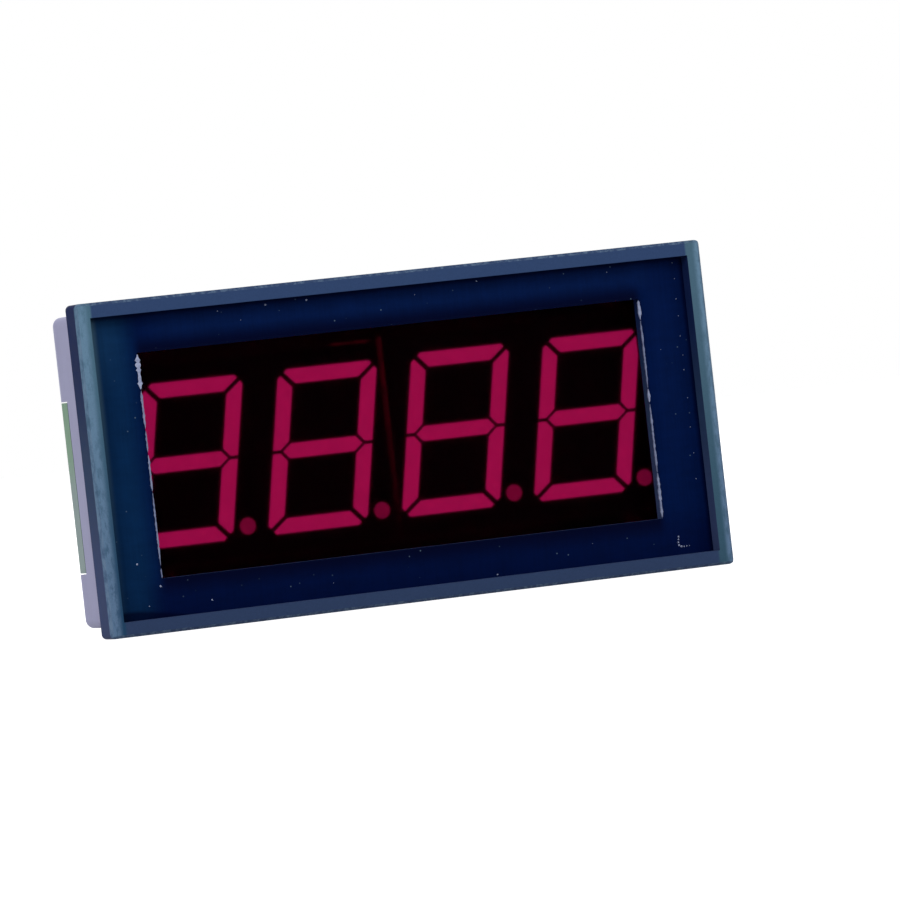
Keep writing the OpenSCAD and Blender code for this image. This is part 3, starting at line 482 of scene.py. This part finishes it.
def paintBoard():
    finish = Finish("boardLaminate", Specular_IOR_Level=0.5, IOR=1.5, Coat_Roughness=0.12)
    at = finish.place()
    x, y, z = finish.axes(at)
    low, high = boxInMm("circuit_board")
    isFace = 1 - y.band(low.y + 0.04, high.y - 0.04, 0.02)
    weave = (x * 9.0).maths("SINE", x * 9.0) * (z * 9.0).maths("SINE", z * 9.0)
    tintShift = finish.noise(at, 0.18, 3.0)
    fine = finish.noise(at, 5.0, 3.0)
    look = {key: tone(*value) for key, value in boardLook.items()}
    lacquer = finish.blend(tintShift.rise(0.3, 0.7), look["lacquerDeep"], look["lacquer"])
    lacquer = finish.shade(lacquer, 0.9 + 0.16 * fine + 0.05 * weave)
    plies = finish.noise(finish.stretched(at, (0.4, 9.0, 0.4)), 1.0, 2.0)
    edge = finish.blend(z.rise(-2.0, 2.0), look["laminateLow"], look["laminate"])
    edge = finish.shade(edge, 0.7 + 0.5 * plies)
    finish.set(Base_Color=finish.blend(isFace, edge, lacquer), Roughness=0.62 - isFace * (0.34 - 0.1 * fine),
               Coat_Weight=isFace * 0.5,
               Normal=finish.bump(fine * 0.4 + weave * 0.12 + plies * (1 - isFace), 0.15, 0.00004))
    finish.cover("circuit_board")


# ---- metals
def paintMetal(name, colour, dull, names=(), roughness=0.25, grainScale=3.0, brushed=(1.0, 0.2, 1.0)):
    finish = Finish(name, Metallic=1.0)
    at = finish.place()
    patch = finish.noise(at, 0.8, 4.0)
    lines = finish.noise(finish.stretched(at, brushed), grainScale, 3.0)
    shade = finish.blend(patch.rise(0.42, 0.66) * 0.7, tone(*colour), tone(*dull))
    finish.set(Base_Color=finish.shade(shade, 0.88 + 0.24 * lines), Roughness=roughness + 0.22 * patch,
               Normal=finish.bump(lines, 0.12, 0.00003))
    return finish.cover(*names)


# ---- moulded parts on the board
def paintMoulding(name, colour, names, roughness, variation=0.18, grainScale=7.0, specular=0.4, coat=0.0):
    finish = Finish(name, Specular_IOR_Level=specular, Coat_Roughness=0.15, Coat_Weight=coat)
    at = finish.place()
    patch = finish.noise(at, 0.5, 4.0)
    grain = finish.noise(at, grainScale, 3.0)
    finish.set(Base_Color=finish.shade(tone(*colour), 1 - variation + 2 * variation * patch),
               Roughness=roughness + 0.15 * grain, Normal=finish.bump(grain, 0.25, 0.00004))
    finish.cover(*names)


bandTones = {
    "black": (20, 20, 22), "brown": (92, 48, 22), "red": (176, 28, 22), "orange": (222, 108, 26),
    "yellow": (226, 190, 40), "green": (34, 120, 62), "blue": (36, 64, 150), "violet": (110, 60, 140),
    "gold": (186, 148, 70),
}
resistorLook = {"coat": (205, 178, 138), "bandPlaces": (0.17, 0.36, 0.52, 0.80), "bandHalf": 0.035}
resistorBands = {
    "integrator_resistor": ("yellow", "violet", "orange", "gold"),
    "input_resistor": ("brown", "black", "green", "gold"),
    "reference_resistor": ("red", "red", "orange", "gold"),
    "oscillator_resistor": ("brown", "black", "yellow", "gold"),
    "feed_resistor": ("brown", "black", "brown", "gold"),
}


def paintResistor(name, bands):
    finish = Finish(name + "Coat", Specular_IOR_Level=0.5, Coat_Weight=0.3, Coat_Roughness=0.2)
    at = finish.place()
    x, y, z = finish.axes(at)
    low, high = boxInMm(name)
    along = (x - low.x) / (high.x - low.x)
    patch = finish.noise(at, 1.2, 4.0)
    wobble = (finish.noise(at, 2.5, 2.0) - 0.5) * 0.03
    colour = finish.shade(tone(*resistorLook["coat"]), 0.88 + 0.24 * patch)
    half = resistorLook["bandHalf"]
    for place, band in zip(resistorLook["bandPlaces"], bands):
        mask = (along + wobble).band(place - half, place + half, 0.008)
        colour = finish.blend(mask, colour, finish.shade(tone(*bandTones[band]), 0.85 + 0.3 * patch))
    finish.set(Base_Color=colour, Roughness=0.34 + 0.2 * patch,
               Normal=finish.bump(finish.noise(at, 4.0, 3.0), 0.2, 0.00004))
    finish.cover(name)


diodeLook = {"glass": (150, 62, 30), "middle": (96, 60, 48), "slug": (150, 146, 140), "band": (16, 15, 17)}


def paintDiode():
    look = {key: tone(*value) for key, value in diodeLook.items()}
    finish = Finish("diodeGlass", Specular_IOR_Level=0.7, Coat_Weight=0.6, Coat_Roughness=0.05)
    at = finish.place()
    x, y, z = finish.axes(at)
    low, high = boxInMm("protection_diode")
    along = (x - low.x) / (high.x - low.x)
    patch = finish.noise(at, 1.6, 4.0)
    glass = finish.blend(along.band(0.3, 0.7, 0.12), look["glass"], look["middle"])
    slug = along.rise(0.16, 0.1).most(along.rise(0.84, 0.9))
    colour = finish.blend(slug * 0.8, glass, look["slug"])
    colour = finish.blend((along + (patch - 0.5) * 0.04).band(0.72, 0.84, 0.01), colour, look["band"])
    finish.set(Base_Color=finish.shade(colour, 0.88 + 0.24 * patch), Roughness=0.12 + 0.12 * patch,
               Normal=finish.bump(patch, 0.08, 0.00004))
    finish.cover("protection_diode")


canLook = {"sleeve": (34, 44, 92), "stripe": (168, 176, 196), "top": (196, 198, 202), "bung": (30, 28, 28)}


def paintCan(name):
    look = {key: tone(*value) for key, value in canLook.items()}
    finish = Finish(name + "Sleeve", Specular_IOR_Level=0.5)
    at = finish.place()
    x, y, z = finish.axes(at)
    low, high = boxInMm(name)
    centre = (low + high) / 2
    radius = (high.x - low.x) / 2
    dx, dz = x - centre.x, z - centre.z
    out = (dx * dx + dz * dz) ** 0.5
    top = y.rise(high.y - 0.32, high.y - 0.26) * out.rise(radius * 0.84, radius * 0.8)
    bung = y.rise(low.y + 0.25, low.y + 0.1)
    patch = finish.noise(at, 0.9, 4.0)
    stripe = dx.rise(-radius * 0.78, -radius * 0.84) * (1 - top)
    dashes = (y * 2.1).maths("SINE", y * 2.1).rise(0.2, 0.35) * abs(dz).rise(radius * 0.22, radius * 0.18)
    colour = finish.blend(stripe, look["sleeve"], look["stripe"])
    colour = finish.blend(stripe * dashes, colour, look["sleeve"])
    turned = finish.noise(finish.stretched(at, (6.0, 1.0, 0.6)), 1.5)
    metal = finish.shade(look["top"], 0.85 + 0.3 * turned)
    colour = finish.blend(top, finish.shade(colour, 0.86 + 0.28 * patch), metal)
    colour = finish.blend(bung, colour, look["bung"])
    finish.set(Base_Color=colour, Metallic=top * 0.95, Roughness=0.3 + 0.2 * patch,
               Normal=finish.bump(patch + 0.3 * finish.noise(at, 5.0), 0.15, 0.00005))
    finish.cover(name)


# ---- mesh helpers, in millimetres of the part's own frame
def makePiece(name, build, finish, body="meter", smooth=True):
    bm = bmesh.new()
    build(bm)
    bmesh.ops.recalc_face_normals(bm, faces=bm.faces)
    mesh = bpy.data.meshes.new(name)
    bm.to_mesh(mesh)
    bm.free()
    mesh.transform(Matrix.Scale(mm, 4))
    for polygon in mesh.polygons:
        polygon.use_smooth = smooth
    mesh.materials.append(finish.material)
    piece = bpy.data.objects.new(name, mesh)
    bpy.context.scene.collection.objects.link(piece)
    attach(piece, body)
    return piece


def revolve(bm, x, z, profile, steps=20, wobble=0.0, seed=0):
    # profile is (radius, y) pairs from one end to the other, turned about a line along y
    chance = random.Random(seed)
    swell = [1 + wobble * (chance.random() - 0.5) for _ in range(steps)]
    swell = [(swell[i - 1] + swell[i] * 2 + swell[(i + 1) % steps]) / 4 for i in range(steps)]
    rings = []
    for radius, y in profile:
        if radius < 1e-6:
            rings.append([bm.verts.new((x, y, z))])
            continue
        turns = [math.tau * i / steps for i in range(steps)]
        spokes = [(radius * size, turn) for size, turn in zip(swell, turns)]
        rings.append([bm.verts.new((x + reach * math.cos(turn), y, z + reach * math.sin(turn)))
                      for reach, turn in spokes])
    for first, second in zip(rings, rings[1:]):
        for i in range(steps):
            j = (i + 1) % steps
            near = [first[i % len(first)], first[j % len(first)]]
            far = [second[j % len(second)], second[i % len(second)]]
            unique = list(dict.fromkeys(near + far))
            if len(unique) > 2:
                bm.faces.new(unique)
    if len(rings[0]) > 1 and len(rings[-1]) > 1 and profile[0] == profile[-1]:
        bmesh.ops.remove_doubles(bm, verts=rings[0] + rings[-1], dist=1e-5)


def islandBoxes(name):  # boxes of a node's separate solids, in millimetres
    mesh = nodes[name].data
    return sorted((Vector([min(place[axis] for place in group) / 1000 for axis in range(3)]),
                   Vector([max(place[axis] for place in group) / 1000 for axis in range(3)]))
                  for group in islands(mesh, mesh.polygons))


boardBack = boxInMm("circuit_board")[1].y

# ---- pale slivers along the window's upright edges, a painted highlight for the light the edges catch, and flecks on the bezel
edgeGlintLook = {                # from z down to z, width, and how pale
    "left": [(9.6, 6.6, 0.34, 1.0), (6.45, 3.2, 0.16, 0.6), (3.0, 1.2, 0.10, 0.5),
             (0.9, -2.2, 0.16, 0.65), (-2.35, -8.6, 0.11, 0.5), (-8.9, -9.7, 0.08, 0.4)],
    "right": [(9.6, 7.9, 0.2, 0.75), (7.8, 1.9, 0.11, 0.45), (1.75, 0.6, 0.16, 0.75),
              (0.4, -5.6, 0.12, 0.5), (-5.7, -9.65, 0.18, 0.65)],
    "stand": 0.05,           # how far it stands off the field
    "tone": (150, 158, 186), "dull": (60, 72, 108),
}
fleckPlaces = [              # x, z and size
    (-11.4, 12.7, 0.10), (-7.6, 12.75, 0.12), (-15.8, 12.6, 0.07), (8.3, 12.8, 0.09), (20.6, 12.4, 0.06),
    (-25.6, -8.3, 0.13), (-24.9, -12.0, 0.08), (-19.2, -12.1, 0.11), (7.2, -12.9, 0.10), (-23.7, -10.4, 0.12),
    (-13.8, 11.6, 0.05), (2.4, 12.2, 0.06), (16.4, -11.2, 0.05), (-8.0, -11.9, 0.05), (24.9, 5.1, 0.05),
    (26.9, 12.6, 0.06), (26.95, 11.2, 0.05), (26.9, 9.4, 0.07), (26.95, 7.9, 0.05), (26.9, 6.1, 0.06),
    (26.95, 4.4, 0.05), (26.9, 3.1, 0.07), (26.95, 0.6, 0.05), (26.9, -2.0, 0.06), (26.95, -4.3, 0.05),
    (26.9, -6.6, 0.06), (24.6, -11.5, 0.11), (24.57, -11.75, 0.10), (24.55, -12.0, 0.11),
    (24.57, -12.25, 0.12), (24.8, -12.38, 0.11), (25.05, -12.42, 0.10), (25.3, -12.4, 0.08),
    (25.55, -12.4, 0.06),
]


def addGlintsAndFlecks():
    pale = Finish("glintAndFleckPlastic", Specular_IOR_Level=0.2)
    at = pale.place()
    speckle = pale.noise(at, 5.0, 4.0, 0.7)
    pallor = pale.node("ShaderNodeAttribute", {"attribute_name": "pallor"}, output="Fac")
    # pale tone for the slivers' painted highlight and for the flecks
    wearAndGlint = pale.blend(pallor, tone(*edgeGlintLook["dull"]), tone(*edgeGlintLook["tone"]))
    pale.set(Base_Color=pale.shade(wearAndGlint, 0.7 + 0.6 * speckle), Roughness=0.4 + 0.3 * speckle,
             Normal=pale.bump(speckle, 0.3, 0.00003))

    # thin pale slivers at the window's upright edges: a painted highlight
    def slivers(bm):
        pallor = bm.verts.layers.float.new("pallor")
        for side, edge, outward in (("left", windowLeft, -1), ("right", windowRight, 1)):
            chance = random.Random(side)
            for top, bottom, width, paleness in edgeGlintLook[side]:
                steps = max(6, int((top - bottom) / 0.16))
                rows = []
                for i in range(steps + 1):
                    along = i / steps
                    z = top + (bottom - top) * along
                    fade = min(1.0, 6 * min(along, 1 - along) + 0.12)
                    reach = width * fade * (0.55 + 0.9 * chance.random())
                    slip = 0.03 * (chance.random() - 0.5)
                    near = edge - outward * (0.012 + 0.45 * reach) + slip
                    far = edge + outward * 0.55 * reach + slip
                    front = fieldDepth - edgeGlintLook["stand"] * (0.4 + 0.6 * chance.random())
                    row = [bm.verts.new((near, fieldDepth + 0.12, z)), bm.verts.new((near, front, z)),
                           bm.verts.new((far, fieldDepth - 0.012, z))]
                    for vertex in row:
                        vertex[pallor] = paleness * (0.6 + 0.5 * chance.random())
                    rows.append(row)
                for first, second in zip(rows, rows[1:]):
                    for j in range(2):
                        bm.faces.new((first[j], first[j + 1], second[j + 1], second[j]))

    makePiece("window_edge_glint", slivers, pale, smooth=False)

    def flecks(bm):
        pallor = bm.verts.layers.float.new("pallor")
        chance = random.Random(5)
        for x, z, size in fleckPlaces:
            count = chance.choice((5, 6, 7))
            turn = chance.random() * math.tau
            y = fieldDepth - 0.004
            ring = []
            for i in range(count):
                reach = size * (0.55 + 0.5 * chance.random())
                angle = turn + math.tau * i / count
                ring.append(bm.verts.new((x + reach * math.cos(angle), y, z + reach * math.sin(angle))))
            crown = bm.verts.new((x, y - 0.03 - 0.2 * size, z))
            for vertex in ring + [crown]:
                vertex[pallor] = min(1.0, 0.25 + 5.5 * size)
            for i in range(count):
                bm.faces.new((ring[i], ring[(i + 1) % count], crown))

    makePiece("bezel_flecks", flecks, pale, smooth=False)
    print("flash and flecks done")


# ---- solder and pads
solderLook = {"fillet": 0.62, "rise": 0.85, "padWidth": 0.42, "padHeight": 0.035}


def wirePlaces(name):  # where a node's leads go through the board, with their radius
    places = []
    centre = sum(corner.x for corner in boxInMm(name)) / 2
    for low, high in islandBoxes(name):
        size = high - low
        radius = min(size.x, size.z) / 2
        if size.x > 1.2:  # a bent lead: the end away from its body's middle goes down
            x = high.x - radius if (low.x + high.x) / 2 > centre else low.x + radius
            places.append((x, (low.z + high.z) / 2, radius))
        else:
            places.append(((low.x + high.x) / 2, (low.z + high.z) / 2, radius))
    return places


def addSolder(metal):
    pins = [place for side in ("left", "right") for place in wirePlaces(side + "_display_pins")]
    look = solderLook

    def cones(bm):
        for number, (x, z, radius) in enumerate(pins):
            foot = look["fillet"]
            profile = [(foot, boardBack + 0.01), (foot * 0.98, boardBack + 0.05)]
            for step in range(1, 8):
                share = step / 7
                profile.append((radius * 1.04 + (foot - radius) * (1 - share) ** 2.4,
                                boardBack + 0.05 + (look["rise"] - 0.05) * share ** 1.2))
            profile.append((radius * 0.9, boardBack + look["rise"] + 0.02))
            revolve(bm, x, z, profile, 20, 0.12, number)

    makePiece("display_solder", cones, metal)
    print("solder cones:", len(pins))


def addPads(metal):
    names = [name for name in sorted(nodes) if name.endswith("_leads") and name != "converter_chip_leads"]
    names += ["left_display_pins", "right_display_pins"]
    places = [place for name in names for place in wirePlaces(name)]
    look = solderLook

    def rings(bm):
        for number, (x, z, radius) in enumerate(places):
            inner = radius + 0.16
            outer = radius + 0.16 + look["padWidth"]
            top = boardBack + look["padHeight"]
            profile = [(inner, boardBack + 0.002), (inner, top), (outer - 0.03, top),
                       (outer, boardBack + 0.002), (inner, boardBack + 0.002)]
            revolve(bm, x, z, profile, 24, 0.02, number)

    makePiece("pad_rings", rings, metal)
    wires = [place for name in names if name.endswith("_leads") for place in wirePlaces(name)]

    def collars(bm):  # solder that wicked up through the holes
        for number, (x, z, radius) in enumerate(wires):
            profile = [(radius + 0.3, boardBack + 0.03), (radius + 0.22, boardBack + 0.09),
                       (radius + 0.08, boardBack + 0.16), (radius - 0.02, boardBack + 0.28)]
            revolve(bm, x, z, profile, 18, 0.25, 100 + number)

    makePiece("wicked_solder", collars, metal)
    print("pads:", len(places))


# ---- floor and light
roomLook = {
    "world": 0.46,           # light from all round, against 1 for what the camera sees of it
    "lamps": {               # place and width in metres, power in watts
        "key_lamp": ((-0.62, -0.85, 0.62), 0.7, 7.5),
        "fill_lamp": ((0.95, -0.6, 0.35), 0.8, 3.2),
        "rear_lamp": ((0.45, 0.95, 0.75), 0.8, 7.0),
    },
    "floorTone": 0.68,
    "floorGlow": 0.72,       # what brings the floor up to the white behind it
}


def addLamp(name, place, width, power):
    data = bpy.data.lights.new(name, "AREA")
    data.shape = "RECTANGLE"
    data.size, data.size_y, data.energy = width, width * 0.8, power
    lamp = bpy.data.objects.new(name, data)
    bpy.context.scene.collection.objects.link(lamp)
    lamp.location = place
    lamp.rotation_mode = "QUATERNION"
    lamp.rotation_quaternion = (-Vector(place)).to_track_quat("-Z", "Y")


def addRoom():
    world = bpy.data.worlds.new("room")
    bpy.context.scene.world = world
    world.use_nodes = True
    sky = Shading(world.node_tree)
    background = sky.tree.nodes["Background"]
    sky.connect(background.inputs["Strength"], roomLook["world"] + (1 - roomLook["world"]) * sky.shown())
    sky.connect(background.inputs["Color"], (1, 1, 1, 1))
    for name, values in roomLook["lamps"].items():
        addLamp(name, *values)

    floor = Finish("floorPaint", Specular_IOR_Level=0.1, Roughness=0.8)
    at = floor.place()
    faint = floor.noise(at, 0.004, 2.0)
    floor.set(Base_Color=floor.shade((roomLook["floorTone"],) * 3 + (1.0,), 0.98 + 0.04 * faint))
    paint = Signal(floor, floor.shader.outputs[0])
    glow = floor.node("ShaderNodeEmission", inputs={"Color": (1, 1, 1, 1), "Strength": roomLook["floorGlow"]})
    both = floor.node("ShaderNodeAddShader", inputs={0: paint, 1: glow})
    mixed = floor.node("ShaderNodeMixShader", inputs={0: floor.shown(), 1: paint, 2: both})
    floor.connect(floor.tree.nodes["Material Output"].inputs["Surface"], mixed)

    mesh = bpy.data.meshes.new("floor")
    bm = bmesh.new()
    bmesh.ops.create_grid(bm, x_segments=8, y_segments=8, size=3)
    bm.to_mesh(mesh)
    bm.free()
    mesh.materials.append(floor.material)
    made = bpy.data.objects.new("floor", mesh)
    made.location = (0, 0, cadBox[0].z - 0.00002)
    bpy.context.scene.collection.objects.link(made)
    bpy.context.scene.view_settings.view_transform = "Standard"
    print("room done")


addRoom()
paintBezel()
paintFilter()
paintDisplay("left")
paintDisplay("right")
paintCase()
paintBoard()
wires = [name for name in nodes if name.endswith(("_leads", "_display_pins"))]
paintMetal("tinnedWire", (205, 207, 210), (150, 152, 158), wires)
paintMetal("giltPins", (228, 190, 104), (178, 140, 74), ["signal_header_pins", "point_header_pins"], 0.2)
paintMetal("springBronze", (196, 142, 82), (140, 98, 60), ["point_shunt_contact"], 0.3)
paintMetal("screwSteel", (196, 200, 206), (132, 138, 150), ["board_screws"], 0.28, 4.0)
paintMoulding("chipMoulding", (38, 39, 42), ["converter_chip"], 0.5)
paintMoulding("referenceMoulding", (30, 30, 33), ["voltage_reference"], 0.42)
paintMoulding("headerPlastic", (26, 26, 29), ["signal_header", "point_header"], 0.4)
paintMoulding("shuntPlastic", (20, 20, 23), ["point_shunt"], 0.35)
paintMoulding("trimmerPlastic", (38, 78, 168), ["trimmer_body"], 0.35)
paintMoulding("rotorPlastic", (226, 220, 200), ["trimmer_rotor"], 0.4, 0.08)
boxCapacitors = ["integrator_capacitor", "auto_zero_capacitor", "reference_capacitor"]
paintMoulding("boxPlastic", (176, 48, 36), boxCapacitors, 0.32)
paintMoulding("discCoat", (206, 122, 42), ["oscillator_capacitor"], 0.3, 0.14, 2.2, 0.5, 0.4)
for name, bands in resistorBands.items():
    paintResistor(name, bands)
paintDiode()
for name in ("supply_capacitor", "negative_supply_capacitor"):
    paintCan(name)
print("finishes done")

addGlintsAndFlecks()
solder = paintMetal("solderTin", (212, 214, 216), (160, 163, 168),
                    roughness=0.2, grainScale=1.4, brushed=(1.0, 1.0, 1.0))
addSolder(solder)
addPads(solder)
